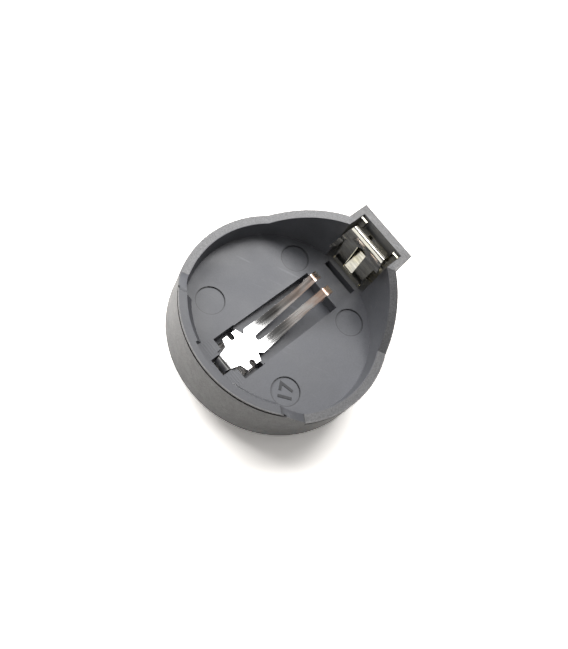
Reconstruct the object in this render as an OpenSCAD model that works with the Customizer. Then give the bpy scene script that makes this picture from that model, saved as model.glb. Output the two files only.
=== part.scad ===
// Through-hole holder for a 20 mm coin cell.
// One moulded housing and two stamped spring contacts whose tails are soldered into a board.
// The board is the plane z = 0, the cell's axis is the Z axis and the clip end points along +X.
// Heights named "above the floor" are measured from the floor of the cell pocket.

/* [Cell] */
// Diameter of the coin cell
cell_d = 20; // [19.5:0.1:20.5]
// Clearance round the cell at the pocket floor
cell_gap = 0.25; // [0.15:0.05:0.4]

/* [Housing] */
// Radial draft of the pocket wall, from its floor to its rim
wall_draft = 0.25; // [0.1:0.05:0.35]
// Thickness of the round wall at the top of its high stretch
rim_wall = 0.8; // [0.7:0.05:1.1]
// Radial draft of the outside of the round wall, over the height of its high stretch
outer_draft = 0.25; // [0.1:0.05:0.35]
// Thickness of the plastic from its underside to the pocket floor
floor_t = 2.3; // [2.1:0.1:2.8]
// Height of the feet that hold the underside off the board
foot_h = 0.3; // [0.2:0.05:0.5]
// Diameter of a foot at the edge
foot_d = 1.4; // [1:0.1:1.6]
// Diameter of the foot under the middle of the pocket
centre_foot_d = 3; // [2:0.1:4]

/* [Rim heights above the floor] */
// Low stretches at the two sides, where a finger lifts the cell out
low_rim_h = 2.15; // [1.8:0.05:2.6]
// Front stretch that carries the retaining lips
front_rim_h = 4.75; // [4.5:0.05:5.2]
// High stretch round the clip
high_rim_h = 6.7; // [6.4:0.1:7.2]
// Angle from +X at which the high stretch has come down to the low one
high_ramp_angle = 58; // [54:1:64]
// Run of the high ramp, square to its foot
high_ramp_run = 7; // [6.4:0.05:7.4]
// Angle from +X at which the front stretch starts to rise
front_ramp_angle = 121.5; // [116:0.5:126]
// Run of the front ramp, square to its foot
front_ramp_run = 3.2; // [2.8:0.1:3.6]

/* [Retaining lips] */
// Angle from +X at which each lip starts
lip_start = 140; // [137:1:145]
// Angle from +X at which each lip ends
lip_end = 166; // [160:1:172]
// Reach of a lip in from the pocket wall
lip_reach = 0.6; // [0.4:0.05:0.8]
// Height of the flat under a lip, above the floor
lip_under_h = 3.45; // [3.35:0.05:3.6]
// Height of a lip's square nose
lip_nose = 0.15; // [0.1:0.05:0.3]
// Depth of the relief in the wall between the two lips
lip_relief = 0.2; // [0.1:0.05:0.3]

/* [Clip box] */
// Distance from the cell's axis to the box's end face
box_end = 13.4; // [13.2:0.1:14]
// Outer width of the box
box_w = 7.3; // [7.1:0.1:7.8]
// Thickness of the box's side walls
box_side_wall = 0.73; // [0.6:0.01:0.85]
// Thickness of the box's end wall
box_end_wall = 1; // [0.8:0.05:1.15]
// Distance from the cell's axis to the front of the slot in the floor before the clip
slot_start = 8.97; // [8.8:0.01:9.1]
// Length of that slot along X
slot_l = 0.7; // [0.6:0.05:0.9]
// Width of that slot
slot_w = 4.4; // [4.2:0.05:4.6]
// Depth of that slot
slot_depth = 1.7; // [1.2:0.1:1.9]

/* [Spring recess in the floor] */
// Width of the recess under the two fingers
recess_w = 5; // [4.6:0.1:5.4]
// Distance from the cell's axis to the deep end of the recess
recess_end = 6.45; // [6.3:0.05:6.8]
// Distance from the cell's axis to the shallow end, where the anchor window starts
recess_start = 4.3; // [4.2:0.05:4.4]
// Depth of the recess at its deep end
recess_deep = 1.65; // [1.3:0.05:1.75]
// Depth of the recess at its shallow end
recess_shallow = 0.6; // [0.45:0.05:0.8]
// Length of the anchor window along X
window_l = 2.7; // [2.6:0.05:2.8]
// Width of the anchor window
window_w = 5.15; // [4.9:0.05:5.4]
// Length of the plastic bridge between the anchor window and the tail window
bridge_l = 0.5; // [0.4:0.05:0.55]
// Clearance behind the tail in the tail window
tail_window_gap = 0.45; // [0.3:0.05:0.5]
// Width of the tail window
tail_window_w = 1.95; // [1.8:0.05:2.1]
// Height of the narrow throat at the bottom of the anchor window, which grips the legs
throat_h = 0.7; // [0.5:0.1:0.9]

/* [Underside] */
// Thickness of floor left above the hollows in the underside
floor_web = 1.2; // [1:0.05:1.4]
// Half width of the solid spine under the spring recess
spine_half = 4.1; // [3.8:0.1:4.3]
// Thickness of the outer wall round the hollows
skirt_wall = 1.25; // [1:0.05:1.5]
// Thickness of the ribs across the hollows
rib_t = 0.9; // [0.7:0.1:1.2]
// Distance of each rib from the cell's axis
rib_x = 3.1; // [2.5:0.1:3.5]
// Distance from the cell's axis to the end of the hollows at the clip end
hollow_end = 7.6; // [7:0.1:7.9]

/* [Fine marks in the moulding] */
// Diameter of the round ejector marks in the floor
ejector_d = 3.1; // [2.8:0.1:3.3]
// Depth of the ejector marks
ejector_depth = 0.15; // [0.05:0.05:0.2]
// Distance from the cell's axis to the front pair, along X
ejector_front_x = 4.5; // [4.2:0.1:4.8]
// Distance from the centre line to the front pair
ejector_front_y = 6.05; // [5.8:0.05:6.3]
// Distance from the cell's axis to the rear pair, along X
ejector_rear_x = 6.5; // [6.2:0.1:6.6]
// Distance from the centre line to the rear pair
ejector_rear_y = 4.6; // [4.4:0.1:4.8]
// Depth of the mould's parting groove, which follows the rim in steps
groove_depth = 0.18; // [0.1:0.01:0.25]
// Height of that groove
groove_h = 0.3; // [0.15:0.05:0.4]
// Distance of that groove below the rim
groove_drop = 0.25; // [0.2:0.05:0.4]
// Angle from the foot of a ramp to the groove's end on the higher stretch
groove_lead = 12; // [10:1:14]

/* [Contacts] */
// Thickness of the sheet
sheet_t = 0.3; // [0.2:0.05:0.35]
// Radius of the bends, at the middle of the sheet
bend_r = 0.5; // [0.4:0.05:0.6]
// Clearance between a contact's edges and the housing
side_gap = 0.07; // [0.04:0.01:0.1]
// Length of the solder pins below the board plane
pin_l = 3; // [2.5:0.1:4]
// Width of the solder pins
pin_w = 0.9; // [0.7:0.05:1]
// Length of the taper at a pin's end
pin_taper = 0.6; // [0.3:0.1:0.9]

/* [Positive clip] */
// Height of the corner at the top of the clip before it is rounded, above the floor
clip_top_h = 7.85; // [7.6:0.05:8]
// Height of the bend where the strap leaves the back plate, above the floor
strap_rear_h = 5.55; // [5.3:0.05:5.8]
// Radius of the clip's two bends, at the middle of the sheet
clip_bend_r = 0.3; // [0.25:0.05:0.4]
// Distance from the cell's axis to the corner at the top of the clip
clip_top_x = 9.4; // [9.2:0.05:9.7]
// Distance from the cell's axis to the foot of the flap
flap_foot_x = 10.3; // [10.1:0.05:10.5]
// Clearance under the foot of the flap
flap_foot_gap = 0.1; // [0.05:0.05:0.2]
// Height of the ears beside the strap, above the floor
ear_h = 6.4; // [6.2:0.05:6.6]
// Width of the strap between the ears
strap_w = 3.6; // [3.2:0.1:3.7]
// Width of the slots between the strap and the ears
ear_slot = 0.28; // [0.2:0.02:0.36]
// Depth of those slots below the strap's bend
ear_slot_depth = 0.5; // [0.3:0.1:0.8]
// Width of the base that passes down through the floor
clip_base_w = 4.1; // [3.8:0.05:4.3]
// Width of the clip at its top bend
flap_top_w = 4.5; // [4.2:0.1:4.7]
// Width of the flap between the wings
flap_mid_w = 4.4; // [4.2:0.1:4.6]
// Width of the flap at its foot
flap_foot_w = 4; // [3.8:0.1:4.2]
// Height of the shoulders where the wings leave the flap, above the floor
wing_shoulder_h = 7.1; // [6.9:0.05:7.2]
// Height of the bend that turns the wings forward over the cell, above the floor
wing_bend_h = 5.2; // [5:0.05:5.4]
// Width across the wings at that bend
wing_bend_w = 5.35; // [5.2:0.05:5.5]
// Width across the tips of the wings
wing_w = 5.85; // [5.6:0.05:5.9]
// Distance from the cell's axis to the tips of the wings
wing_tip_x = 8.95; // [8.8:0.05:9.2]
// Height of the tips of the wings, above the floor
wing_tip_h = 3.5; // [3.4:0.05:3.7]
// Width of each wing near its tip
wing_tip_w = 0.3; // [0.2:0.05:0.4]
// Width of the tabs at the two corners of the foot
foot_tab_w = 0.2; // [0.1:0.05:0.3]
// Height of those tabs
foot_tab_h = 0.35; // [0.2:0.05:0.5]
// Width of the round-topped opening that the tongue is cut from
opening_w = 1.3; // [1.1:0.05:1.5]
// Height of the top of that opening, above the floor
opening_top_h = 6.4; // [6.1:0.05:6.6]
// Height of the tongue's root above the floor
tongue_root_h = 0.75; // [0.6:0.05:1]
// Length of the tongue that leans back towards the plate
tongue_l = 2.6; // [2.2:0.1:2.8]
// Angle between the tongue and the flap
tongue_angle = 45; // [38:1:50]
// Shear clearance at each side of the tongue
tongue_gap = 0.05; // [0.02:0.01:0.1]
// Width of the hole pierced in the strap
strap_hole_w = 1.7; // [1.2:0.1:2]
// Length of that hole, seen from above
strap_hole_l = 1.1; // [0.8:0.05:1.3]
// Distance from the cell's axis to the middle of that hole
strap_hole_x = 10.85; // [10.7:0.05:11]

/* [Negative spring] */
// Distance from the cell's axis to the middle of the negative pin
tail_x = 8; // [7.9:0.05:8.05]
// Width of the spring where it bends down into the tail window
tail_w = 1.5; // [1.3:0.05:1.6]
// Width of the waist over the bridge
waist_w = 2.35; // [2.1:0.05:2.5]
// Width across the anchor wings
anchor_w = 4.06; // [3.8:0.02:4.2]
// Distance from the cell's axis to the front edge of the anchor wings
anchor_front = 6.2; // [6.1:0.05:6.3]
// Distance from the cell's axis to the rear edge of the anchor wings
anchor_rear = 4.42; // [4.4:0.02:4.5]
// Width of the notch between the two legs of each wing
notch_w = 0.6; // [0.5:0.05:0.7]
// Depth of that notch
notch_depth = 0.72; // [0.6:0.02:0.8]
// Width over the two fingers at their root
finger_root_w = 3.2; // [3:0.05:3.4]
// Width of a finger at its tip
finger_tip_w = 0.9; // [0.7:0.05:1]
// Distance between the middles of the two fingers
finger_pitch = 2.1; // [2:0.05:2.3]
// Distance from the cell's axis back to the round end of the slit
slit_end = 3.3; // [3.1:0.05:3.5]
// Width of the slit at its round end
slit_w = 0.7; // [0.6:0.05:0.9]
// Distance from the cell's axis back to the corner of the long bend that lifts the fingers
rise_x = 1; // [0.8:0.1:1.4]
// Radius of that bend, at the middle of the sheet
rise_r = 11; // [8:0.5:12]
// Distance from the cell's axis to the narrowest part of the fingers
finger_neck_x = 2.4; // [2:0.1:3]
// Width over the two fingers there
finger_neck_w = 2.7; // [2.6:0.05:2.9]
// Width of the gap between the fingers there
finger_neck_gap = 0.86; // [0.8:0.02:1]
// Distance from the cell's axis to the crown of the fingers
crown_x = 5.15; // [5:0.05:5.3]
// Height of the crown above the floor
crown_h = 2.6; // [2.2:0.1:2.8]
// Length of the turned-down tip beyond the crown
tip_l = 1.05; // [0.8:0.05:1.2]
// Angle of that tip below level
tip_angle = 30; // [20:1:45]
// Length of the straight-sided end of each finger
finger_end_l = 1.4; // [1:0.1:1.8]
// Height of the round contact dimple on each finger
dimple_rise = 0.1; // [0.05:0.01:0.15]
// Radius of the dimple's dome
dimple_r = 0.5; // [0.4:0.05:0.6]
// Distance from the dimple to the crown
dimple_back = 0.9; // [0.8:0.05:1.2]

/* [Hidden] */
$fn = 96;
eps = 0.01;
far = 30;

floor_z = foot_h + floor_t;
low_z = floor_z + low_rim_h;
front_z = floor_z + front_rim_h;
high_z = floor_z + high_rim_h;
pocket_r = cell_d / 2 + cell_gap;
rim_r = pocket_r + wall_draft;
outer_r = rim_r + rim_wall;
draft_h = front_rim_h - low_rim_h;
box_inner_end = box_end - box_end_wall;
box_inner_w = box_w - 2 * box_side_wall;

window_end = recess_start + window_l;
tail_window_start = window_end + bridge_l;
tail_window_end = tail_x + sheet_t / 2 + tail_window_gap;
spring_seat_z = floor_z - sheet_t;
seat_w = waist_w + 4 * side_gap;
throat_top = foot_h + throat_h;
throat_w = anchor_w + 2 * side_gap;
hollow_top = floor_z - floor_web;
skirt_r = outer_r - skirt_wall;

plate_x = box_inner_end - side_gap - sheet_t / 2;
clip_w = box_inner_w - 2 * side_gap;
clip_foot = [flap_foot_x, floor_z + flap_foot_gap];
clip_top = [clip_top_x, floor_z + clip_top_h];
clip_rear = [plate_x, floor_z + strap_rear_h];
wing_top = floor_z + wing_bend_h + sheet_t / 2;

spring_z = floor_z - sheet_t / 2;

// Direction, in degrees, from one point of a side view to the next
function heading(a, b) = atan2(b[1] - a[1], b[0] - a[0]);

// An angle brought into the range from -180 to 180
function wrapped(a) = a > 180 ? a - 360 : a < -180 ? a + 360 : a;

// Radius for a corner, where r is one radius for all of them or a list with one for each
function radius_at(r, corner) = is_list(r) ? r[corner - 1] : r;

// Points and directions along a sheet's middle line, with each corner of v bent to radius r
function stations(v, r, n = 8) = [
    [v[0], heading(v[0], v[1])],
    for (i = [1:len(v) - 2])
        let (
            h0 = heading(v[i - 1], v[i]),
            turn = wrapped(heading(v[i], v[i + 1]) - h0),
            side = sign(turn),
            bend = radius_at(r, i),
            start = v[i] - bend * tan(abs(turn) / 2) * [cos(h0), sin(h0)],
            centre = start + side * bend * [-sin(h0), cos(h0)]
        )
        for (k = [0:n])
            let (h = h0 + turn * k / n)
            [centre + side * bend * [sin(h), -cos(h)], h],
    [v[len(v) - 1], heading(v[len(v) - 2], v[len(v) - 1])]
];

// Edge-on view of a sheet of thickness t bent along the corners v
module bent_section(v, r, t) {
    s = stations(v, r);
    last = len(s) - 1;
    polygon(concat(
        [for (i = [0:last]) s[i][0] + t / 2 * [-sin(s[i][1]), cos(s[i][1])]],
        [for (i = [last:-1:0]) s[i][0] - t / 2 * [-sin(s[i][1]), cos(s[i][1])]]
    ));
}

// A side view drawn in X and Z, made w wide across Y
module across(w) {
    translate([0, w / 2, 0])
        rotate([90, 0, 0])
            linear_extrude(w)
                children();
}

// An end view drawn in Y and Z, carried along X from x0 to x1
module along(x0, x1) {
    translate([x0, 0, 0])
        rotate([90, 0, 90])
            linear_extrude(x1 - x0)
                children();
}

// A half outline, given on the +Y side from front to back, closed by its mirror image
module mirrored_outline(half) {
    last = len(half) - 1;
    polygon(concat(half, [for (i = [last:-1:0]) [half[i][0], -half[i][1]]]));
}

// Block between two X values, centred on Y, between two heights
module block(x0, x1, w, z0, z1) {
    translate([x0, -w / 2, z0])
        cube([x1 - x0, w, z1 - z0]);
}

// Both sides of something drawn on the +Y side
module both_sides() {
    children();
    mirror([0, 1, 0])
        children();
}

// ---- Housing ----

// Radius of the outside of the round wall at a height above the board
function outer_at(z) = outer_r + outer_draft * (1 - z / high_z);

// Outside of the whole moulding, with the round wall drafted
module body() {
    cylinder(h = high_z, r1 = outer_at(0), r2 = outer_r);
    block(0, box_end, box_w, 0, high_z);
}

// Everything below a ramp that climbs from height low, away from a radial line at the given angle
module under_ramp(angle, turn, run, low, high) {
    rotate([0, 0, angle])
        rotate([90, 0, 90])
            translate([0, 0, -far])
                linear_extrude(2 * far)
                    polygon([[0, 0], [0, low], [turn * run, high], [turn * far, high], [turn * far, 0]]);
}

// Everything below the rim: low at the two sides, with plane ramps up to the clip and the front
module below_rim() {
    linear_extrude(low_z)
        square(2 * far, center = true);
    intersection() {
        under_ramp(high_ramp_angle, -1, high_ramp_run, low_z, high_z);
        under_ramp(-high_ramp_angle, 1, high_ramp_run, low_z, high_z);
    }
    intersection() {
        under_ramp(front_ramp_angle, 1, front_ramp_run, low_z, front_z);
        under_ramp(-front_ramp_angle, -1, front_ramp_run, low_z, front_z);
    }
}

// The round pocket for the cell, drafted up to the front rim and straight above it
module pocket() {
    translate([0, 0, floor_z])
        cylinder(h = draft_h, r1 = pocket_r, r2 = rim_r);
    translate([0, 0, floor_z + draft_h])
        cylinder(h = far, r = rim_r);
}

// One lip: a lead-in slope down to a square nose over the cell's edge
module lip() {
    under_z = floor_z + lip_under_h;
    rotate([0, 0, lip_start])
        rotate_extrude(angle = lip_end - lip_start)
            polygon([
                [rim_r + rim_wall / 2, under_z],
                [rim_r - lip_reach, under_z],
                [rim_r - lip_reach, under_z + lip_nose],
                [rim_r, front_z],
                [rim_r + rim_wall / 2, front_z]
            ]);
}

// Relief in the wall between the lips
module lip_gap() {
    rotate([0, 0, lip_end])
        rotate_extrude(angle = 2 * (180 - lip_end))
            translate([rim_r - eps, floor_z + low_rim_h])
                square([lip_relief + eps, far]);
}

// One arc of the mould's parting groove, below a rim at a height above the board
module groove_arc(start, end, rim_z) {
    groove_top = rim_z - groove_drop;
    rotate([0, 0, start])
        rotate_extrude(angle = end - start)
            translate([outer_at(groove_top) - groove_depth, groove_top - groove_h])
                square([groove_depth + rim_wall, groove_h]);
}

// Parting groove round the outside, below the front stretch and the two low ones
module parting_groove() {
    front_start = front_ramp_angle + groove_lead;
    groove_arc(front_start, 360 - front_start, front_z);
    both_sides()
        groove_arc(high_ramp_angle + groove_lead / 2, front_ramp_angle, low_z);
}

// Space inside the clip box, open to the pocket, the slot before the clip and the hole for its base
module clip_space() {
    base_start = box_inner_end - sheet_t - 2 * side_gap;
    block(0, box_inner_end, box_inner_w, floor_z, far);
    block(slot_start, slot_start + slot_l, slot_w, floor_z - slot_depth, floor_z + eps);
    block(base_start, box_inner_end, clip_base_w + 2 * side_gap, -eps, floor_z + eps);
}

// Recess with a sloping bottom that lets the fingers go flat
module spring_recess() {
    across(recess_w)
        polygon([
            [-recess_start, floor_z + eps],
            [-recess_start, floor_z - recess_shallow],
            [recess_end, floor_z - recess_deep],
            [recess_end, floor_z + eps]
        ]);
}

// Windows that the spring's legs and tail pass through, and the seat of its waist on the bridge
module spring_windows() {
    block(-window_end, -recess_start + eps, window_w, throat_top, floor_z + eps);
    block(-window_end, -recess_start + eps, throat_w, -eps, throat_top + eps);
    block(-tail_window_end, -tail_window_start, tail_window_w, -eps, floor_z + eps);
    block(-tail_window_start - eps, -window_end + eps, seat_w, spring_seat_z, floor_z + eps);
}

// Hollows in the underside, one each side of the spine, divided by ribs
module hollows() {
    translate([0, 0, -eps])
        linear_extrude(hollow_top + eps)
            difference() {
                circle(skirt_r);
                square([far, 2 * spine_half], center = true);
                translate([hollow_end, -far / 2])
                    square(far);
                for (x = [-rib_x, rib_x])
                    translate([x, 0])
                        square([rib_t, far], center = true);
            }
}

// Round marks that the ejector pins leave in the floor
module ejector_marks() {
    for (p = [[-ejector_front_x, ejector_front_y], [ejector_rear_x, ejector_rear_y]])
        both_sides()
            translate([p[0], p[1], floor_z - ejector_depth])
                cylinder(h = ejector_d, d = ejector_d);
}

// Feet that stand on the board
module feet() {
    cylinder(h = foot_h + eps, d = centre_foot_d);
    foot_r = outer_r - skirt_wall / 2 - (foot_d - skirt_wall) / 2 - eps;
    for (a = [45:90:315])
        rotate([0, 0, a])
            translate([foot_r, 0, 0])
                cylinder(h = foot_h + eps, d = foot_d);
}

module housing() {
    color([0.27, 0.28, 0.29]) {
        difference() {
            intersection() {
                body();
                below_rim();
            }
            translate([0, 0, -eps])
                linear_extrude(foot_h + eps)
                    square(2 * far, center = true);
            pocket();
            lip_gap();
            parting_groove();
            clip_space();
            spring_recess();
            spring_windows();
            hollows();
            ejector_marks();
        }
        both_sides()
            lip();
        feet();
    }
}

// ---- Contacts ----

// Solder pin seen square to the sheet: a straight blade with a tapered end, from height z0 down
module pin_outline(z0) {
    mirrored_outline([
        [-pin_l, pin_w / 4],
        [-pin_l + pin_taper, pin_w / 2],
        [z0, pin_w / 2]
    ]);
}

// Edge-on view of the clip: base, back plate, strap sloping up towards the cell, and flap
module clip_section() {
    bent_section([[plate_x, foot_h], clip_rear, clip_top, clip_foot], clip_bend_r, sheet_t);
}

// The point of the flap's middle line at a height above the floor
function flap_point(h) =
    let (share = (h - flap_foot_gap) / (clip_top_h - flap_foot_gap))
    clip_foot + share * (clip_top - clip_foot);

// Part of the clip's side view on the flap's side of its top bend
module flap_side() {
    middle = (heading(clip_top, clip_rear) + heading(clip_top, clip_foot)) / 2;
    along_middle = far * [cos(middle), sin(middle)];
    polygon([clip_top - along_middle, [0, 0], clip_top + along_middle]);
}

// Back plate seen along X, with its two ears, the base that passes the floor, and the pin
module clip_back_outline() {
    translate([-clip_w / 2, floor_z])
        square([clip_w, ear_h]);
    translate([-clip_base_w / 2, foot_h])
        square([clip_base_w, floor_t + eps]);
    rotate(90)
        pin_outline(foot_h + eps);
}

// Flap seen along X, widening into the roots of the wings
module flap_outline() {
    rotate(90)
        mirrored_outline([
            [0, flap_foot_w / 2 + foot_tab_w],
            [clip_foot[1] + foot_tab_h, flap_foot_w / 2 + foot_tab_w],
            [clip_foot[1] + foot_tab_h, flap_foot_w / 2],
            [wing_top, flap_mid_w / 2],
            [wing_top, wing_bend_w / 2],
            [floor_z + wing_shoulder_h, flap_top_w / 2 + 0.15],
            [clip_top[1] - clip_bend_r, flap_top_w / 2],
            [clip_top[1], flap_top_w / 2]
        ]);
}

// Wings seen along X, each one narrowing down to a square tip
module wing_outline() {
    tip_z = floor_z + wing_tip_h;
    both_sides()
        rotate(90)
            mirror([0, 1])
                polygon([
                    [wing_top + eps, flap_mid_w / 2],
                    [wing_top + eps, wing_bend_w / 2],
                    [tip_z, wing_w / 2],
                    [tip_z - sheet_t, wing_w / 2 - wing_tip_w / 4],
                    [tip_z, wing_w / 2 - wing_tip_w],
                    [wing_top - 2 * bend_r, flap_mid_w / 2 + side_gap]
                ]);
}

// Edge-on view of a wing: down the flap from its top bend, then forward over the cell
module wing_section() {
    bend = flap_point(wing_bend_h);
    tip = [wing_tip_x, floor_z + wing_tip_h];
    bent_section([clip_top, bend, tip + 0.2 * (tip - bend)], bend_r, sheet_t);
}

// Strap seen from above, widening from the ears to the top bend, with its pierced hole
module strap_outline() {
    difference() {
        rotate(180)
            mirrored_outline([
                [-plate_x - sheet_t, strap_w / 2],
                [-plate_x + clip_bend_r, strap_w / 2],
                [-clip_top_x - clip_bend_r, flap_top_w / 2],
                [-clip_top_x + clip_bend_r, flap_top_w / 2]
            ]);
        translate([strap_hole_x, 0])
            square([strap_hole_l, strap_hole_w], center = true);
    }
}

// Opening in the flap seen along X: square at the tongue's root, round at the top
module tongue_opening() {
    root_z = floor_z + tongue_root_h;
    round_z = floor_z + opening_top_h - opening_w / 2;
    translate([-opening_w / 2, root_z])
        square([opening_w, round_z - root_z]);
    translate([0, round_z])
        circle(d = opening_w);
}

// Edge-on view of the tongue: up the flap from its foot, then back towards the plate
module tongue_section() {
    root = flap_point(tongue_root_h);
    angle = heading(clip_foot, clip_top) - tongue_angle;
    bent_section([clip_foot, root, root + tongue_l * [cos(angle), sin(angle)]], bend_r, sheet_t);
}

// The back plate with the slots that free the strap from its ears
module clip_back() {
    front_x = plate_x - sheet_t / 2;
    slot_z = clip_rear[1] - ear_slot_depth;
    difference() {
        along(front_x, front_x + sheet_t)
            clip_back_outline();
        both_sides()
            translate([front_x - eps, strap_w / 2, slot_z])
                cube([2 * sheet_t, ear_slot, far]);
        block(front_x - eps, plate_x + sheet_t, strap_w + eps, clip_rear[1] - clip_bend_r, far);
    }
}

module positive_contact() {
    color([0.8, 0.79, 0.76]) {
        clip_back();
        intersection() {
            across(box_w)
                difference() {
                    clip_section();
                    flap_side();
                }
            translate([0, 0, clip_rear[1] - ear_slot_depth])
                linear_extrude(far)
                    strap_outline();
        }
        intersection() {
            across(box_w)
                translate([eps, 0])
                    intersection() {
                        clip_section();
                        flap_side();
                    }
            along(0, (flap_foot_x + plate_x) / 2)
                difference() {
                    flap_outline();
                    tongue_opening();
                }
        }
        across(opening_w - 2 * tongue_gap)
            tongue_section();
        intersection() {
            across(box_w)
                wing_section();
            along(0, box_end)
                wing_outline();
        }
    }
}

// Spring seen from above: tail, waist, anchor wings, neck and two tapering fingers
module spring_outline() {
    tip_x = crown_x + tip_l;
    end_x = tip_x - finger_end_l;
    notch_y = anchor_w / 2 - notch_depth + notch_w / 2;
    difference() {
        mirrored_outline([
            [-tail_x - sheet_t, tail_w / 2],
            [-tail_x, tail_w / 2],
            [-anchor_front - 0.3, waist_w / 2],
            [-anchor_front, anchor_w / 2],
            [-anchor_rear, anchor_w / 2],
            [-anchor_rear + 0.32, waist_w / 2],
            [-anchor_rear + 0.78, finger_root_w / 2],
            [finger_neck_x, finger_neck_w / 2],
            [end_x, (finger_pitch + finger_tip_w) / 2 - 0.1],
            [tip_x, (finger_pitch + finger_tip_w) / 2]
        ]);
        mirrored_outline([
            [-slit_end + slit_w / 2, slit_w / 2],
            [finger_neck_x, finger_neck_gap / 2],
            [end_x, (finger_pitch - finger_tip_w) / 2 - 0.1],
            [tip_x + tip_l, (finger_pitch - finger_tip_w) / 2]
        ]);
        translate([-slit_end + slit_w / 2, 0])
            circle(d = slit_w);
        both_sides()
            translate([-(anchor_front + anchor_rear) / 2, notch_y]) {
                circle(d = notch_w);
                translate([-notch_w / 2, 0])
                    square([notch_w, notch_depth]);
            }
    }
}

// Edge-on view of the spring: pin, seat over the bridge, rising fingers, crown and turned-down tip
module spring_section() {
    bent_section([
        [-tail_x, foot_h],
        [-tail_x, spring_z],
        [-rise_x, spring_z],
        [crown_x, floor_z + crown_h - sheet_t / 2],
        [crown_x + tip_l * cos(tip_angle), floor_z + crown_h - sheet_t / 2 - tip_l * sin(tip_angle)]
    ], [bend_r, rise_r, bend_r], sheet_t);
}

// Legs bent straight down from the anchor wings and gripped in the throat of the window
module anchor_legs() {
    leg_y = anchor_w / 2 - sheet_t / 2;
    leg_l = (anchor_front - anchor_rear - notch_w) / 2;
    line = [[leg_y - bend_r, spring_z], [leg_y, spring_z], [leg_y, foot_h]];
    for (x = [-anchor_front, -anchor_rear - leg_l])
        both_sides()
            along(x, x + leg_l)
                bent_section(line, sheet_t, sheet_t);
}

module negative_contact() {
    finger_angle = atan((crown_h) / (crown_x + rise_x));
    color([0.8, 0.79, 0.76]) {
        intersection() {
            across(box_w)
                spring_section();
            linear_extrude(far)
                spring_outline();
        }
        anchor_legs();
        along(-tail_x - sheet_t / 2, -tail_x + sheet_t / 2)
            rotate(90)
                pin_outline(foot_h + eps);
        intersection() {
            both_sides()
                translate([crown_x - dimple_back, finger_pitch / 2, floor_z + crown_h])
                    rotate([0, -finger_angle, 0])
                        translate([0, 0, -dimple_back * sin(finger_angle) + dimple_rise - dimple_r])
                            sphere(dimple_r);
            translate([0, 0, -dimple_r])
                across(box_w)
                    translate([0, dimple_r])
                        spring_section();
        }
    }
}

housing();
positive_contact();
negative_contact();
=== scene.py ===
"""Looks for the through-hole holder of a 20 mm coin cell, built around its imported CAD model.

The frame's origin is on the board plane under the middle of the cell pocket, +X points at the
box that holds the positive clip, and every size below is in metres.
"""

import logging
import math
from dataclasses import dataclass, field
from enum import Enum

import bmesh
import bpy
from mathutils import Matrix, Vector


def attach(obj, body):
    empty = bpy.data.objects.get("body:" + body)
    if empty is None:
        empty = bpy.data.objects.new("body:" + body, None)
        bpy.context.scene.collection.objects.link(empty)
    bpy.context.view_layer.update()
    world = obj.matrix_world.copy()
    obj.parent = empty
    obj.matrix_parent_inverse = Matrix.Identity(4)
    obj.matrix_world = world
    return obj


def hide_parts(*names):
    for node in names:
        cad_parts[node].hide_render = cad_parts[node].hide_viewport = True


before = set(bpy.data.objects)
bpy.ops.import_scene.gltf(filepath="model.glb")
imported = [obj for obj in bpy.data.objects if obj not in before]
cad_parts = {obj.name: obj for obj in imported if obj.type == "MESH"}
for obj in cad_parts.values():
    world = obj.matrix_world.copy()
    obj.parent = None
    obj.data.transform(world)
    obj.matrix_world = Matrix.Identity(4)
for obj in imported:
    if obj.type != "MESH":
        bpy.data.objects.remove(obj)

LOG = logging.getLogger("coin_cell_holder")
MM = 0.001
FLOOR_Z = 2.6 * MM  # top of the pocket's floor
BODY = "root"
MERGE_GAP = 0.0005 * MM
CREASE = math.radians(28)
BEVEL_SEGMENTS = 2
MIX_SHARE, MIX_A, MIX_B, MIX_RESULT = 0, 6, 7, 2  # the Mix node's sockets for colours

Tree = bpy.types.NodeTree
Socket = bpy.types.NodeSocket
Triple = tuple[float, float, float]
Fade = tuple[tuple[float, float], tuple[float, float]]  # value read and value given, at each end


class Grain(Enum):
    """How strongly the specks of a moulded surface differ in tone."""

    SATIN = 0.25
    ERODED = 1.1


class Slot(Enum):
    """The record's material slots."""

    PLASTIC = "housing_plastic"
    METAL = "contact_metal"


# ---- Small helpers for node trees ----


def new_material(name: str) -> tuple[bpy.types.Material, Tree, bpy.types.Node]:
    """Make a material that holds one Principled shader.

    Args:
        name: The material's name.

    Returns:
        The material, its node tree and its Principled node.
    """
    material = bpy.data.materials.new(name)
    material.use_nodes = True
    tree = material.node_tree
    return material, tree, tree.nodes["Principled BSDF"]


def add_node(tree: Tree, kind: str, **settings: object) -> bpy.types.Node:
    """Add a node and set some of its properties or its unlinked inputs.

    Args:
        tree: The tree that takes the node.
        kind: The node's type name.
        **settings: Properties of the node, or input names with spaces written as underscores.

    Returns:
        The new node.
    """
    node = tree.nodes.new(kind)
    for key, value in settings.items():
        if hasattr(node, key):
            setattr(node, key, value)
        else:
            node.inputs[key.replace("_", " ")].default_value = value
    return node


def faded(tree: Tree, source: Socket, fade: Fade) -> Socket:
    """Turn a value into another one along a straight stretch with flat ends.

    Args:
        tree: The tree that takes the node.
        source: The socket that is read.
        fade: The value read and the value given at the low end, then at the high end.

    Returns:
        The socket that gives the new value.
    """
    node = add_node(tree, "ShaderNodeMapRange", clamp=True)
    tree.links.new(source, node.inputs["Value"])
    node.inputs["From Min"].default_value, node.inputs["To Min"].default_value = fade[0]
    node.inputs["From Max"].default_value, node.inputs["To Max"].default_value = fade[1]
    return node.outputs["Result"]


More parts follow.
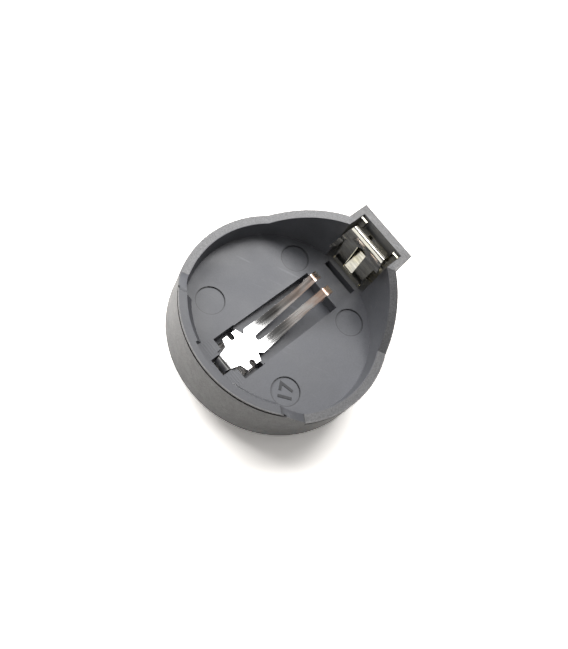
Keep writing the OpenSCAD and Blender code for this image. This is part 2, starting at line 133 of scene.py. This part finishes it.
def math_node(tree: Tree, operation: str, *values: Socket | float) -> Socket:
    """Work out one step of arithmetic.

    Args:
        tree: The tree that takes the node.
        operation: The node's operation, such as MULTIPLY.
        *values: Sockets or plain numbers, in the node's order.

    Returns:
        The result's socket.
    """
    node = add_node(tree, "ShaderNodeMath", operation=operation)
    for index, value in enumerate(values):
        if isinstance(value, (int, float)):
            node.inputs[index].default_value = value
        else:
            tree.links.new(value, node.inputs[index])
    return node.outputs["Value"]


def product(tree: Tree, first: Socket, *others: Socket | float) -> Socket:
    """Multiply values, and so keep only what lies in all of several zones.

    Args:
        tree: The tree that takes the nodes.
        first: The first value.
        *others: What it is multiplied by.

    Returns:
        The product's socket.
    """
    for other in others:
        first = math_node(tree, "MULTIPLY", first, other)
    return first


def inverse(tree: Tree, value: Socket) -> Socket:
    """Give one minus a value."""
    return math_node(tree, "SUBTRACT", 1.0, value)


def over(tree: Tree, value: Socket, limit: float) -> Socket:
    """Give 1 where a value is over a limit and 0 elsewhere."""
    return math_node(tree, "GREATER_THAN", value, limit)


def under(tree: Tree, value: Socket, limit: float) -> Socket:
    """Give 1 where a value is under a limit and 0 elsewhere."""
    return math_node(tree, "LESS_THAN", value, limit)


def distance_from(tree: Tree, value: Socket, middle: float) -> Socket:
    """Give how far a value is from a middle value."""
    return math_node(tree, "ABSOLUTE", math_node(tree, "SUBTRACT", value, middle))


def object_coords(tree: Tree, scale: Triple = (1, 1, 1), turn: float = 0.0) -> Socket:
    """Give the piece's own coordinates, turned about Z and then stretched.

    Args:
        tree: The tree that takes the nodes.
        scale: Stretch along X, Y and Z.
        turn: Turn about Z, in degrees.

    Returns:
        The vector socket.
    """
    coords = add_node(tree, "ShaderNodeTexCoord")
    turned = add_node(tree, "ShaderNodeMapping")
    turned.inputs["Rotation"].default_value = (0, 0, math.radians(turn))
    tree.links.new(coords.outputs["Object"], turned.inputs["Vector"])
    stretched = add_node(tree, "ShaderNodeMapping")
    stretched.inputs["Scale"].default_value = scale
    tree.links.new(turned.outputs["Vector"], stretched.inputs["Vector"])
    return stretched.outputs["Vector"]


def axes(tree: Tree) -> dict[str, Socket]:
    """Give the piece's own X, Y and Z, and the distance R from its Z axis.

    Args:
        tree: The tree that takes the nodes.

    Returns:
        The sockets by the names X, Y, Z and R.
    """
    split = add_node(tree, "ShaderNodeSeparateXYZ")
    tree.links.new(object_coords(tree), split.inputs["Vector"])
    length = add_node(tree, "ShaderNodeVectorMath", operation="LENGTH")
    tree.links.new(object_coords(tree, (1, 1, 0)), length.inputs[0])
    return {name: split.outputs[name] for name in "XYZ"} | {"R": length.outputs["Value"]}


def noise(
    tree: Tree, cell: float, detail: float = 3.0, stretch: Triple = (1, 1, 1), turn: float = 0.0
) -> Socket:
    """Give a noise value on the piece's own coordinates.

    Args:
        tree: The tree that takes the nodes.
        cell: Size of the noise's cells.
        detail: Octaves of finer noise.
        stretch: Scale of the coordinates along X, Y and Z.
        turn: Turn of the coordinates about Z, in degrees.

    Returns:
        The socket that gives a value round 0.5.
    """
    node = add_node(tree, "ShaderNodeTexNoise", Scale=1 / cell, Detail=detail)
    tree.links.new(object_coords(tree, stretch, turn), node.inputs["Vector"])
    return node.outputs["Fac"]


def mixed(tree: Tree, share: Socket, a: Triple | Socket, b: Triple | Socket) -> Socket:
    """Mix two colours by a socket's value.

    Args:
        tree: The tree that takes the node.
        share: The socket whose value picks b over a.
        a: First colour, or the socket that gives it.
        b: Second colour, or the socket that gives it.

    Returns:
        The colour socket.
    """
    node = tree.nodes.new("ShaderNodeMix")
    node.data_type = "RGBA"
    tree.links.new(share, node.inputs[MIX_SHARE])
    for index, colour in ((MIX_A, a), (MIX_B, b)):
        if isinstance(colour, tuple):
            node.inputs[index].default_value = (*colour, 1)
        else:
            tree.links.new(colour, node.inputs[index])
    return node.outputs[MIX_RESULT]


def scaled(tree: Tree, colour: Socket, factor: Socket) -> Socket:
    """Make a colour lighter or darker by a factor.

    Args:
        tree: The tree that takes the node.
        colour: The colour's socket.
        factor: The factor's socket.

    Returns:
        The new colour's socket.
    """
    node = add_node(tree, "ShaderNodeVectorMath", operation="SCALE")
    tree.links.new(colour, node.inputs[0])
    tree.links.new(factor, node.inputs["Scale"])
    return node.outputs["Vector"]


def bump(
    tree: Tree, height: Socket, depth: float, below: Socket | None = None, strength: Socket | None = None
) -> Socket:
    """Turn a height value into a bumped normal.

    Args:
        tree: The tree that takes the node.
        height: The socket whose value is the height.
        depth: Depth of the relief.
        below: The normal of a coarser relief that this one lies on.
        strength: The socket that says how much of the relief shows.

    Returns:
        The normal socket.
    """
    node = add_node(tree, "ShaderNodeBump", Distance=depth, Strength=1.0)
    tree.links.new(height, node.inputs["Height"])
    if below is not None:
        tree.links.new(below, node.inputs["Normal"])
    if strength is not None:
        tree.links.new(strength, node.inputs["Strength"])
    return node.outputs["Normal"]


# ---- Finishes ----


@dataclass(frozen=True)
class MouldedPlastic:
    """Charcoal moulded plastic: satin in the pocket and on the front rim, spark-eroded elsewhere.

    The first block holds the colours, the second where the housing's zones lie, the third the
    tones of its grain, smudges, scratches and marks, and the light and shade painted on it.
    """

    name: str
    inside: Triple = (0.118, 0.121, 0.133)
    rim: Triple = (0.2, 0.199, 0.203)
    wall: Triple = (0.195, 0.192, 0.192)
    scratch: Triple = (0.3, 0.31, 0.33)
    ior: float = 1.52

    rim_inner: float = 10.53 * MM
    rim_outer: float = 11.28 * MM
    front_x: float = -5 * MM
    front_z: float = 4.85 * MM
    box_end: float = 12.43 * MM
    box_half: float = 2.95 * MM
    marks: tuple[tuple[float, float], ...] = ((-4.5 * MM, 6.05 * MM), (6.5 * MM, 4.6 * MM))
    mark_radius: float = 1.55 * MM
    edge_gap: float = 0.02 * MM
    groove_x: float = -7.85 * MM
    groove_front_z: float = 6.95 * MM
    groove_side_z: float = 4.35 * MM
    groove_half: float = 0.17 * MM
    groove_inner: float = 11.16 * MM
    groove_outer: float = 11.38 * MM

    # Painted light: rims and outer walls made paler towards +Y, the lamps' side.
    rim_painted_light: Fade = ((-9 * MM, 0.65), (3 * MM, 1.0))
    wall_painted_light: Fade = ((-9 * MM, 0.9), (5 * MM, 1.16))
    # painted shade along the foot of the outer wall
    foot_fade: Fade = ((0.3 * MM, 0.3), (0.75 * MM, 1.0))
    front_fade: Fade = ((6.9 * MM, 1.28), (7.25 * MM, 0.84))
    mark_fade: Fade = ((0.02 * MM, 0.45), (0.09 * MM, 1.0))
    # painted shade in the parting groove
    groove_painted_shade: float = 0.92
    patch_size: float = 0.8 * MM
    patch_fade: Fade = ((0.35, -0.1), (0.65, 0.1))
    smudge_size: float = 3.4 * MM
    smudge_fade: Fade = ((0.3, 0.86), (0.7, 1.18))
    gloss_fade: Fade = ((0.3, 0.32), (0.7, 0.46))
    scratch_size: float = 0.9 * MM
    scratch_stretch: Triple = (0.12, 1, 1)
    scratch_turn: float = 62
    scratch_fade: Fade = ((0.66, 0.0), (0.78, 0.4))
    speck_size: float = 0.16 * MM
    speck_depth: float = 0.0144 * MM
    satin_relief: float = 0.3
    ripple_size: float = 1.1 * MM
    ripple_depth: float = 0.0072 * MM

    def front(self, tree: Tree, place: dict[str, Socket]) -> Socket:
        """Tell the front stretch's rim and ramps from the rest of the housing."""
        high = over(tree, place["Z"], self.front_z)
        return product(tree, under(tree, place["X"], self.front_x), high)

    def outer_wall(self, tree: Tree, place: dict[str, Socket]) -> Socket:
        """Tell the outer walls from the rims."""
        return over(tree, place["R"], self.rim_outer)

    def eroded(self, tree: Tree, place: dict[str, Socket]) -> Socket:
        """Tell the eroded skin from the satin one.

        Args:
            tree: The tree that takes the nodes.
            place: The surface's place, by axis.

        Returns:
            The share of eroded skin.
        """
        off_side = over(tree, math_node(tree, "ABSOLUTE", place["Y"]), self.box_half)
        off_end = over(tree, place["X"], self.box_end)
        at_front = under(tree, place["X"], 0.0)
        off_box = math_node(tree, "MAXIMUM", math_node(tree, "MAXIMUM", off_side, off_end), at_front)
        elsewhere = inverse(tree, self.front(tree, place))
        off_front = math_node(tree, "MAXIMUM", elsewhere, self.outer_wall(tree, place))
        return product(tree, over(tree, place["R"], self.rim_inner), off_box, off_front)

    def painted_shade(self, tree: Tree, place: dict[str, Socket]) -> Socket:
        """Paint shade into the parting groove and along the foot of the outer wall.

        Args:
            tree: The tree that takes the nodes.
            place: The surface's place, by axis.

        Returns:
            The factor for the colour.
        """
        at_front = under(tree, place["X"], self.groove_x)
        heights = {self.groove_front_z: at_front, self.groove_side_z: inverse(tree, at_front)}
        stretches = []
        for middle, share in heights.items():
            band = under(tree, distance_from(tree, place["Z"], middle), self.groove_half)
            stretches.append(product(tree, band, share))
        ring = over(tree, place["R"], self.groove_inner)
        ring = product(tree, ring, under(tree, place["R"], self.groove_outer))
        groove = product(tree, math_node(tree, "ADD", *stretches), ring)
        # Painted shade: darken the groove's bands, then the foot of the outer wall.
        unshaded = math_node(tree, "MULTIPLY_ADD", groove, -self.groove_painted_shade, 1.0)
        return product(tree, unshaded, faded(tree, place["Z"], self.foot_fade))

    def front_tone(self, tree: Tree, place: dict[str, Socket]) -> Socket:
        """Lighten the front ramps and darken the front rim.

        Args:
            tree: The tree that takes the nodes.
            place: The surface's place, by axis.

        Returns:
            The factor for the colour.
        """
        there = product(
            tree,
            over(tree, place["R"], self.rim_inner - self.edge_gap),
            under(tree, place["R"], self.rim_outer),
            self.front(tree, place),
        )
        tone = math_node(tree, "SUBTRACT", faded(tree, place["Z"], self.front_fade), 1.0)
        return math_node(tree, "ADD", product(tree, tone, there), 1.0)

    def mark_lines(self, tree: Tree, place: dict[str, Socket]) -> Socket:
        """Outline the round ejector marks in the floor.

        Args:
            tree: The tree that takes the nodes.
            place: The surface's place, by axis.

        Returns:
            The factor for the colour.
        """
        spot = add_node(tree, "ShaderNodeCombineXYZ")
        tree.links.new(place["X"], spot.inputs["X"])
        tree.links.new(math_node(tree, "ABSOLUTE", place["Y"]), spot.inputs["Y"])
        off_floor = over(tree, place["Z"], FLOOR_Z + self.edge_gap)
        factors = []
        for mark_x, mark_y in self.marks:
            apart = add_node(tree, "ShaderNodeVectorMath", operation="DISTANCE")
            tree.links.new(spot.outputs["Vector"], apart.inputs[0])
            apart.inputs[1].default_value = (mark_x, mark_y, 0)
            edge = distance_from(tree, apart.outputs["Value"], self.mark_radius)
            line = faded(tree, edge, self.mark_fade)
            factors.append(math_node(tree, "MAXIMUM", line, off_floor))
        return product(tree, *factors)

    def skin(self, tree: Tree, place: dict[str, Socket]) -> Socket:
        """Colour the eroded rims and walls, with painted light that makes them paler towards +Y, the
        side the lamps stand on.

        Args:
            tree: The tree that takes the nodes.
            place: The surface's place, by axis.

        Returns:
            The colour's socket.
        """
        wall = self.outer_wall(tree, place)
        # Painted light: paler towards +Y on the walls and on the rims.
        wall_painted_light_tone = product(tree, faded(tree, place["Y"], self.wall_painted_light), wall)
        tone = math_node(tree, "MAXIMUM", faded(tree, place["Y"], self.rim_painted_light), wall_painted_light_tone)
        colour = scaled(tree, mixed(tree, wall, self.rim, self.wall), tone)
        patches = faded(tree, noise(tree, self.patch_size, detail=2), self.patch_fade)
        return scaled(tree, colour, math_node(tree, "ADD", product(tree, patches, wall), 1.0))

    def build(self) -> bpy.types.Material:
        """Make the material.

        Returns:
            The finished material.
        """
        material, tree, shader = new_material(self.name)
        place = axes(tree)
        eroded = self.eroded(tree, place)
        smudge = noise(tree, self.smudge_size, detail=4)
        speck = noise(tree, self.speck_size, detail=2)
        streaks = noise(tree, self.scratch_size, stretch=self.scratch_stretch, turn=self.scratch_turn)
        colour = mixed(tree, eroded, self.inside, self.skin(tree, place))
        colour = mixed(tree, faded(tree, streaks, self.scratch_fade), colour, self.scratch)
        # This tone carries the painted shade in the groove and at the wall's foot, besides smudges, the
        # front's tones and the mark outlines.
        tone = product(
            tree,
            faded(tree, smudge, self.smudge_fade),
            self.painted_shade(tree, place),
            self.front_tone(tree, place),
            self.mark_lines(tree, place),
        )
        satin, rough = Grain.SATIN.value, Grain.ERODED.value
        contrast = math_node(tree, "MULTIPLY_ADD", eroded, rough - satin, satin)
        spread = product(tree, math_node(tree, "SUBTRACT", speck, 0.5), contrast)
        colour = scaled(tree, colour, product(tree, tone, math_node(tree, "ADD", spread, 1.0)))
        tree.links.new(colour, shader.inputs["Base Color"])
        tree.links.new(faded(tree, smudge, self.gloss_fade), shader.inputs["Roughness"])
        ripple = bump(tree, noise(tree, self.ripple_size), self.ripple_depth)
        relief = math_node(tree, "MULTIPLY_ADD", eroded, 1 - self.satin_relief, self.satin_relief)
        tree.links.new(bump(tree, speck, self.speck_depth, ripple, relief), shader.inputs["Normal"])
        shader.inputs["IOR"].default_value = self.ior
        return material


@dataclass(frozen=True)
class PlatedSheet:
    """Bright nickel plate on spring sheet, with fine rolling lines and stains that grow along X."""

    name: str
    plate: Triple
    stain: Triple
    stain_fade: Fade
    roughness: float
    line_stretch: Triple
    dent_depth: float = 0.012 * MM
    tarnish: float = 0.0
    line_size: float = 0.22 * MM
    line_fade: Fade = ((0.38, 0.7), (0.6, 1.06))
    line_depth: float = 0.002 * MM
    dull_fade: Fade = ((0.35, 0.7), (0.65, 1.6))
    cloud_size: float = 0.9 * MM
    cloud_stretch: Triple = (0.25, 1, 1)
    cloud_fade: Fade = ((0.36, 0.25), (0.58, 1.0))
    dent_size: float = 2.4 * MM

    def build(self) -> bpy.types.Material:
        """Make the material.

        Returns:
            The finished material.
        """
        material, tree, shader = new_material(self.name)
        along = faded(tree, axes(tree)["X"], self.stain_fade)
        lines = noise(tree, self.line_size, detail=1.5, stretch=self.line_stretch)
        cloud = faded(tree, noise(tree, self.cloud_size, stretch=self.cloud_stretch), self.cloud_fade)
        colour = mixed(tree, product(tree, along, cloud), self.plate, self.stain)
        colour = scaled(tree, colour, faded(tree, lines, self.line_fade))
        tree.links.new(colour, shader.inputs["Base Color"])
        shader.inputs["Metallic"].default_value = 1.0
        polish = product(tree, faded(tree, lines, self.dull_fade), self.roughness)
        rough = math_node(tree, "ADD", polish, product(tree, along, self.tarnish))
        tree.links.new(rough, shader.inputs["Roughness"])
        dents = bump(tree, noise(tree, self.dent_size, detail=2), self.dent_depth)
        tree.links.new(bump(tree, lines, self.line_depth, dents), shader.inputs["Normal"])
        return material


# ---- Mesh helpers ----


def merged_copy(node: str, name: str, soften: float) -> bpy.types.Object:
    """Copy a CAD node, join its loose triangles and round its sharp edges.

    Args:
        node: The CAD node's name.
        name: The new piece's name.
        soften: Width of the rounded edges.

    Returns:
        The new piece.
    """
    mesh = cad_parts[node].data.copy()
    mesh.materials.clear()
    work = bmesh.new()
    work.from_mesh(mesh)
    bmesh.ops.remove_doubles(work, verts=work.verts, dist=MERGE_GAP)
    for face in work.faces:
        face.smooth = True
    for edge in work.edges:
        edge.smooth = edge.calc_face_angle(0.0) < CREASE
    work.to_mesh(mesh)
    work.free()
    if "custom_normal" in mesh.attributes:
        mesh.attributes.remove(mesh.attributes["custom_normal"])
    piece = bpy.data.objects.new(name, mesh)
    bpy.context.scene.collection.objects.link(piece)
    rounding = piece.modifiers.new("softened edges", "BEVEL")
    rounding.width = soften
    rounding.segments = BEVEL_SEGMENTS
    rounding.limit_method = "ANGLE"
    rounding.angle_limit = CREASE
    rounding.use_clamp_overlap = True
    rounding.harden_normals = True
    rounding.miter_outer = "MITER_ARC"
    return baked(piece)


def baked(piece: bpy.types.Object) -> bpy.types.Object:
    """Turn a piece's modifiers into plain mesh.

    Args:
        piece: The piece, with its modifiers.

    Returns:
        The same piece, without modifiers.
    """
    graph = bpy.context.evaluated_depsgraph_get()
    mesh = bpy.data.meshes.new_from_object(piece.evaluated_get(graph), depsgraph=graph)
    piece.modifiers.clear()
    old = piece.data
    piece.data = mesh
    mesh.name = piece.name
    bpy.data.meshes.remove(old)
    return piece


def finished(pieces: list[bpy.types.Object], material: bpy.types.Material) -> None:
    """Give pieces their material and slot, and fix them to the body.

    Args:
        pieces: The pieces.
        material: Their material.
    """
    for piece in pieces:
        piece.data.materials.clear()
        piece.data.materials.append(material)
        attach(piece, BODY)


# ---- Sub-assemblies ----


@dataclass
class Housing:
    """The moulded housing, with softened edges."""

    soften: float = 0.06 * MM
    finish: MouldedPlastic = MouldedPlastic("charcoal satin plastic")
    pieces: list[bpy.types.Object] = field(default_factory=list)

    def build(self) -> None:
        """Make the housing's shell."""
        shell = merged_copy("housing", "housing_shell", self.soften)
        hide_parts("housing")
        self.pieces.append(shell)

    def dress(self) -> None:
        """Give the shell its plastic and fix it to the body."""
        finished(self.pieces, self.finish.build())


@dataclass
class MouldNumber:
    """The plain cavity number that stands in one of the floor's round marks."""

    digits: str = "17"
    place: tuple[float, float] = (-4.47 * MM, -6.17 * MM)
    mark_depth: float = 0.15 * MM
    turn: float = 38.0
    size: float = 2.1 * MM
    height: float = 0.06 * MM
    weight: float = 0.035 * MM
    finish: MouldedPlastic = MouldedPlastic("shaded plastic", (0.03, 0.031, 0.034))
    pieces: list[bpy.types.Object] = field(default_factory=list)

    def build(self) -> None:
        """Draw the digits as shallow raised strokes and lay them on the mark's floor."""
        curve = bpy.data.curves.new("number_curve", "FONT")
        curve.body = self.digits
        curve.size = self.size
        curve.align_x = "CENTER"
        curve.align_y = "CENTER"
        curve.extrude = self.height / 2
        curve.offset = self.weight
        drawn = bpy.data.objects.new("number_drawn", curve)
        bpy.context.scene.collection.objects.link(drawn)
        graph = bpy.context.evaluated_depsgraph_get()
        mesh = bpy.data.meshes.new_from_object(drawn.evaluated_get(graph), depsgraph=graph)
        bpy.data.objects.remove(drawn)
        mesh.name = "mould_number"
        place = Matrix.Translation((*self.place, FLOOR_Z - self.mark_depth + self.height / 2))
        mesh.transform(place @ Matrix.Rotation(math.radians(self.turn), 4, "Z"))
        piece = bpy.data.objects.new("mould_number", mesh)
        bpy.context.scene.collection.objects.link(piece)
        self.pieces.append(piece)

    def dress(self) -> None:
        """Give the digits a darker plastic and fix them to the body."""
        finished(self.pieces, self.finish.build())


@dataclass
class MouldRidges:
    """Fine parallel ridges that the mould's cutter left beside the floor's bridge."""

    count: int = 4
    pitch: float = 0.27 * MM
    first_x: float = -8.32 * MM
    inner_y: float = 1.15 * MM
    length: float = 1.75 * MM
    width: float = 0.09 * MM
    height: float = 0.03 * MM
    least: Triple = (0.8, 0.82, 0.9)
    most: Triple = (1.1, 1.0, 1.1)
    seed: int = 4
    finish: MouldedPlastic = MouldedPlastic("ridge plastic", inside=(0.15, 0.153, 0.165))
    plastic: bpy.types.Material = field(init=False)
    pieces: list[bpy.types.Object] = field(default_factory=list)

    def __post_init__(self) -> None:
        """Make the ridges' plastic, which their rule sets."""
        self.plastic = self.finish.build()

    def rule(self) -> Tree:
        """Make the rule that lays out one set of ridges.

        Returns:
            The geometry node tree.
        """
        tree = bpy.data.node_groups.new("ridge_row", "GeometryNodeTree")
        named = {"Count": "NodeSocketInt", "Pitch": "NodeSocketFloat", "Seed": "NodeSocketInt"}
        for name, kind in named.items():
            tree.interface.new_socket(name, in_out="INPUT", socket_type=kind)
        tree.interface.new_socket("Geometry", in_out="OUTPUT", socket_type="NodeSocketGeometry")
        given = tree.nodes.new("NodeGroupInput")
        step = tree.nodes.new("ShaderNodeCombineXYZ")
        row = tree.nodes.new("GeometryNodeMeshLine")
        bar = tree.nodes.new("GeometryNodeMeshCube")
        bar.inputs["Size"].default_value = (self.width, self.length, self.height)
        spread = tree.nodes.new("FunctionNodeRandomValue")
        spread.data_type = "FLOAT_VECTOR"
        spread.inputs["Min"].default_value = self.least
        spread.inputs["Max"].default_value = self.most
        placed = tree.nodes.new("GeometryNodeInstanceOnPoints")
        real = tree.nodes.new("GeometryNodeRealizeInstances")
        painted = tree.nodes.new("GeometryNodeSetMaterial")
        painted.inputs["Material"].default_value = self.plastic
        result = tree.nodes.new("NodeGroupOutput")
        for source, target in (
            (given.outputs["Count"], row.inputs["Count"]),
            (given.outputs["Pitch"], step.inputs["X"]),
            (given.outputs["Seed"], spread.inputs["Seed"]),
            (step.outputs["Vector"], row.inputs["Offset"]),
            (row.outputs["Mesh"], placed.inputs["Points"]),
            (bar.outputs["Mesh"], placed.inputs["Instance"]),
            (spread.outputs["Value"], placed.inputs["Scale"]),
            (placed.outputs["Instances"], real.inputs["Geometry"]),
            (real.outputs["Geometry"], painted.inputs["Geometry"]),
            (painted.outputs["Geometry"], result.inputs["Geometry"]),
        ):
            tree.links.new(source, target)
        return tree

    def build(self) -> None:
        """Lay one set of ridges on each side of the bridge."""
        tree = self.rule()
        given = [item for item in tree.interface.items_tree if item.in_out == "INPUT"]
        sockets = {item.name: item.identifier for item in given}
        for index, (name, side) in enumerate((("ridges_left", -1), ("ridges_right", 1))):
            piece = bpy.data.objects.new(name, bpy.data.meshes.new(name))
            bpy.context.scene.collection.objects.link(piece)
            row = piece.modifiers.new("ridge row", "NODES")
            row.node_group = tree
            row[sockets["Count"]] = self.count
            row[sockets["Pitch"]] = self.pitch
            row[sockets["Seed"]] = self.seed + index
            baked(piece)
            middle_y = side * (self.inner_y + self.length / 2)
            piece.data.transform(Matrix.Translation((self.first_x, middle_y, FLOOR_Z)))
            self.pieces.append(piece)

    def dress(self) -> None:
        """Keep the ridges' plastic and fix them to the body."""
        finished(self.pieces, self.plastic)


@dataclass
class SpringContact:
    """One stamped spring contact, with its sheared edges softened and its fingers' slight lean."""

    node: str
    finish: PlatedSheet
    soften: float = 0.075 * MM
    lean: float = 0.0
    lean_from: float = -3.5 * MM
    lean_to: float = 6.2 * MM
    pieces: list[bpy.types.Object] = field(default_factory=list)

    def build(self) -> None:
        """Make the contact's sheet."""
        sheet = merged_copy(self.node, f"{self.node}_sheet", self.soften)
        for vertex in sheet.data.vertices:
            share = (vertex.co.x - self.lean_from) / (self.lean_to - self.lean_from)
            vertex.co.y += self.lean * max(0.0, share)
        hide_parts(self.node)
        self.pieces.append(sheet)

    def dress(self) -> None:
        """Plate the sheet and fix it to the body."""
        finished(self.pieces, self.finish.build())


# ---- Studio ----


@dataclass(frozen=True)
class Softbox:
    """One square lamp that faces the holder."""

    name: str
    place: Triple
    size: float
    power: float

    def build(self) -> None:
        """Hang the lamp."""
        data = bpy.data.lights.new(self.name, "AREA")
        data.size = self.size
        data.energy = self.power
        lamp = bpy.data.objects.new(self.name, data)
        lamp.location = self.place
        lamp.rotation_euler = (-Vector(self.place)).to_track_quat("-Z", "Y").to_euler()
        bpy.context.scene.collection.objects.link(lamp)


@dataclass(frozen=True)
class SkyPatch:
    """A soft round patch on the sky that only mirrors see.

    Its fade gives the patch's share by the cosine of the angle from its middle.
    """

    way: Triple
    fade: Fade
    tint: Triple

    def over_sky(self, tree: Tree, rays: bpy.types.Node, sky: Triple | Socket) -> Socket:
        """Lay the patch over the sky.

        Args:
            tree: The world's node tree.
            rays: Its light path node.
            sky: The sky's colour so far.

        Returns:
            The colour's socket.
        """
        facing = add_node(tree, "ShaderNodeVectorMath", operation="DOT_PRODUCT")
        incoming = add_node(tree, "ShaderNodeNewGeometry").outputs["Incoming"]
        tree.links.new(incoming, facing.inputs[0])
        facing.inputs[1].default_value = [-part for part in Vector(self.way).normalized()]
        seen = faded(tree, facing.outputs["Value"], self.fade)
        return mixed(tree, product(tree, seen, rays.outputs["Is Glossy Ray"]), sky, self.tint)


@dataclass
class Studio:
    """Pale floor, soft lamps and the camera."""

    floor_z: float = -3.0 * MM
    floor_size: float = 3.0
    paper: Triple = (0.5, 0.49, 0.475)
    paper_roughness: float = 0.5
    extra_white: Triple = (1.85, 1.79, 1.72)
    mirror_share: float = 0.35
    sky: float = 0.24
    backdrop: float = 1.05
    patches: tuple[SkyPatch, ...] = (
        SkyPatch((-0.13, 0.1, 0.98), ((0.80, 0.0), (0.97, 1.0)), (0.24, 0.24, 0.235)),
        SkyPatch((-0.93, 0.1, 0.36), ((0.55, 0.0), (0.85, 1.0)), (4.2, 4.2, 4.1)),
    )
    lamps: tuple[Softbox, ...] = (
        Softbox("overhead softbox", (0.30, 0.16, 0.55), 0.3, 2.0),
        Softbox("side softbox", (-0.03, 0.46, 0.40), 0.4, 3.4),
    )
    camera_place: Triple = (-32.917 * MM, -7.954 * MM, 66.881 * MM)
    camera_turn: Triple = (22.3395, -17.0616, -41.8404)
    camera_lens: float = 38.507
    camera_sensor: float = 36
    camera_near: float = 1 * MM

    def build_floor(self) -> None:
        """Lay the pale floor that the pins stand on."""
        half = self.floor_size / 2
        corners = ((-half, -half), (half, -half), (half, half), (-half, half))
        mesh = bpy.data.meshes.new("studio_floor")
        mesh.from_pydata([(x, y, self.floor_z) for x, y in corners], [], [(0, 1, 2, 3)])
        floor = bpy.data.objects.new("studio_floor", mesh)
        bpy.context.scene.collection.objects.link(floor)
        material, tree, shader = new_material("pale paper")
        shader.inputs["Base Color"].default_value = (*self.paper, 1)
        shader.inputs["Roughness"].default_value = self.paper_roughness
        self.brighten(tree, shader)
        mesh.materials.append(material)

    def brighten(self, tree: Tree, shader: bpy.types.Node) -> None:
        """Make the paper whiter where the camera or a mirror sees it, and keep the shadow on it.

        Args:
            tree: The paper's node tree.
            shader: Its plain shader.
        """
        rays = add_node(tree, "ShaderNodeLightPath")
        mirrored = product(tree, rays.outputs["Is Glossy Ray"], self.mirror_share)
        seen = math_node(tree, "MAXIMUM", rays.outputs["Is Camera Ray"], mirrored)
        extra = add_node(tree, "ShaderNodeBsdfDiffuse")
        tree.links.new(mixed(tree, seen, (0.0, 0.0, 0.0), self.extra_white), extra.inputs["Color"])
        both = add_node(tree, "ShaderNodeAddShader")
        tree.links.new(shader.outputs["BSDF"], both.inputs[0])
        tree.links.new(extra.outputs["BSDF"], both.inputs[1])
        tree.links.new(both.outputs["Shader"], tree.nodes["Material Output"].inputs["Surface"])

    def build_light(self) -> None:
        """Set the pale world, white behind the floor, and hang the lamps."""
        world = bpy.data.worlds.new("studio")
        world.use_nodes = True
        tree = world.node_tree
        background = tree.nodes["Background"]
        rays = add_node(tree, "ShaderNodeLightPath")
        colour = (1.0, 1.0, 1.0)
        for patch in self.patches:
            colour = patch.over_sky(tree, rays, colour)
        white = (self.backdrop / self.sky,) * 3
        colour = mixed(tree, rays.outputs["Is Camera Ray"], colour, white)
        tree.links.new(colour, background.inputs["Color"])
        background.inputs["Strength"].default_value = self.sky
        bpy.context.scene.world = world
        for lamp in self.lamps:
            lamp.build()

    def build_camera(self) -> None:
        """Set the camera on the holder."""
        data = bpy.data.cameras.new("camera")
        data.sensor_width = self.camera_sensor
        data.lens = self.camera_lens
        data.clip_start = self.camera_near
        camera = bpy.data.objects.new("camera", data)
        camera.location = self.camera_place
        camera.rotation_euler = [math.radians(angle) for angle in self.camera_turn]
        bpy.context.scene.collection.objects.link(camera)
        bpy.context.scene.camera = camera

    def build(self) -> None:
        """Build the whole studio."""
        self.build_floor()
        self.build_light()
        self.build_camera()
        bpy.context.scene.view_settings.view_transform = "Standard"


def main() -> None:
    """Build the holder's pieces and the studio."""
    logging.basicConfig(level=logging.INFO, format="%(name)s: %(message)s")
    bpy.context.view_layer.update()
    clip_plate = PlatedSheet(
        name="nickel plate",
        plate=(0.84, 0.82, 0.76),
        stain=(0.80, 0.74, 0.55),
        stain_fade=((8 * MM, 0.0), (12 * MM, 1.0)),
        roughness=0.14,
        line_stretch=(1, 0.1, 0.3),
    )
    spring_plate = PlatedSheet(
        name="stained nickel plate",
        plate=(0.88, 0.87, 0.86),
        stain=(0.66, 0.47, 0.38),
        stain_fade=((-1 * MM, 0.0), (4.5 * MM, 1.0)),
        roughness=0.17,
        line_stretch=(0.03, 0.45, 0.03),
        dent_depth=0.003 * MM,
        tarnish=0.07,
    )
    assemblies = [
        Housing(),
        MouldNumber(),
        MouldRidges(),
        SpringContact("positive_contact", clip_plate),
        SpringContact("negative_contact", spring_plate, lean=0.35 * MM),
    ]
    for assembly in assemblies:
        assembly.build()
        assembly.dress()
        for piece in assembly.pieces:
            LOG.info("%s: %d faces", piece.name, len(piece.data.polygons))
    Studio().build()


if __name__ == "__main__":
    main()
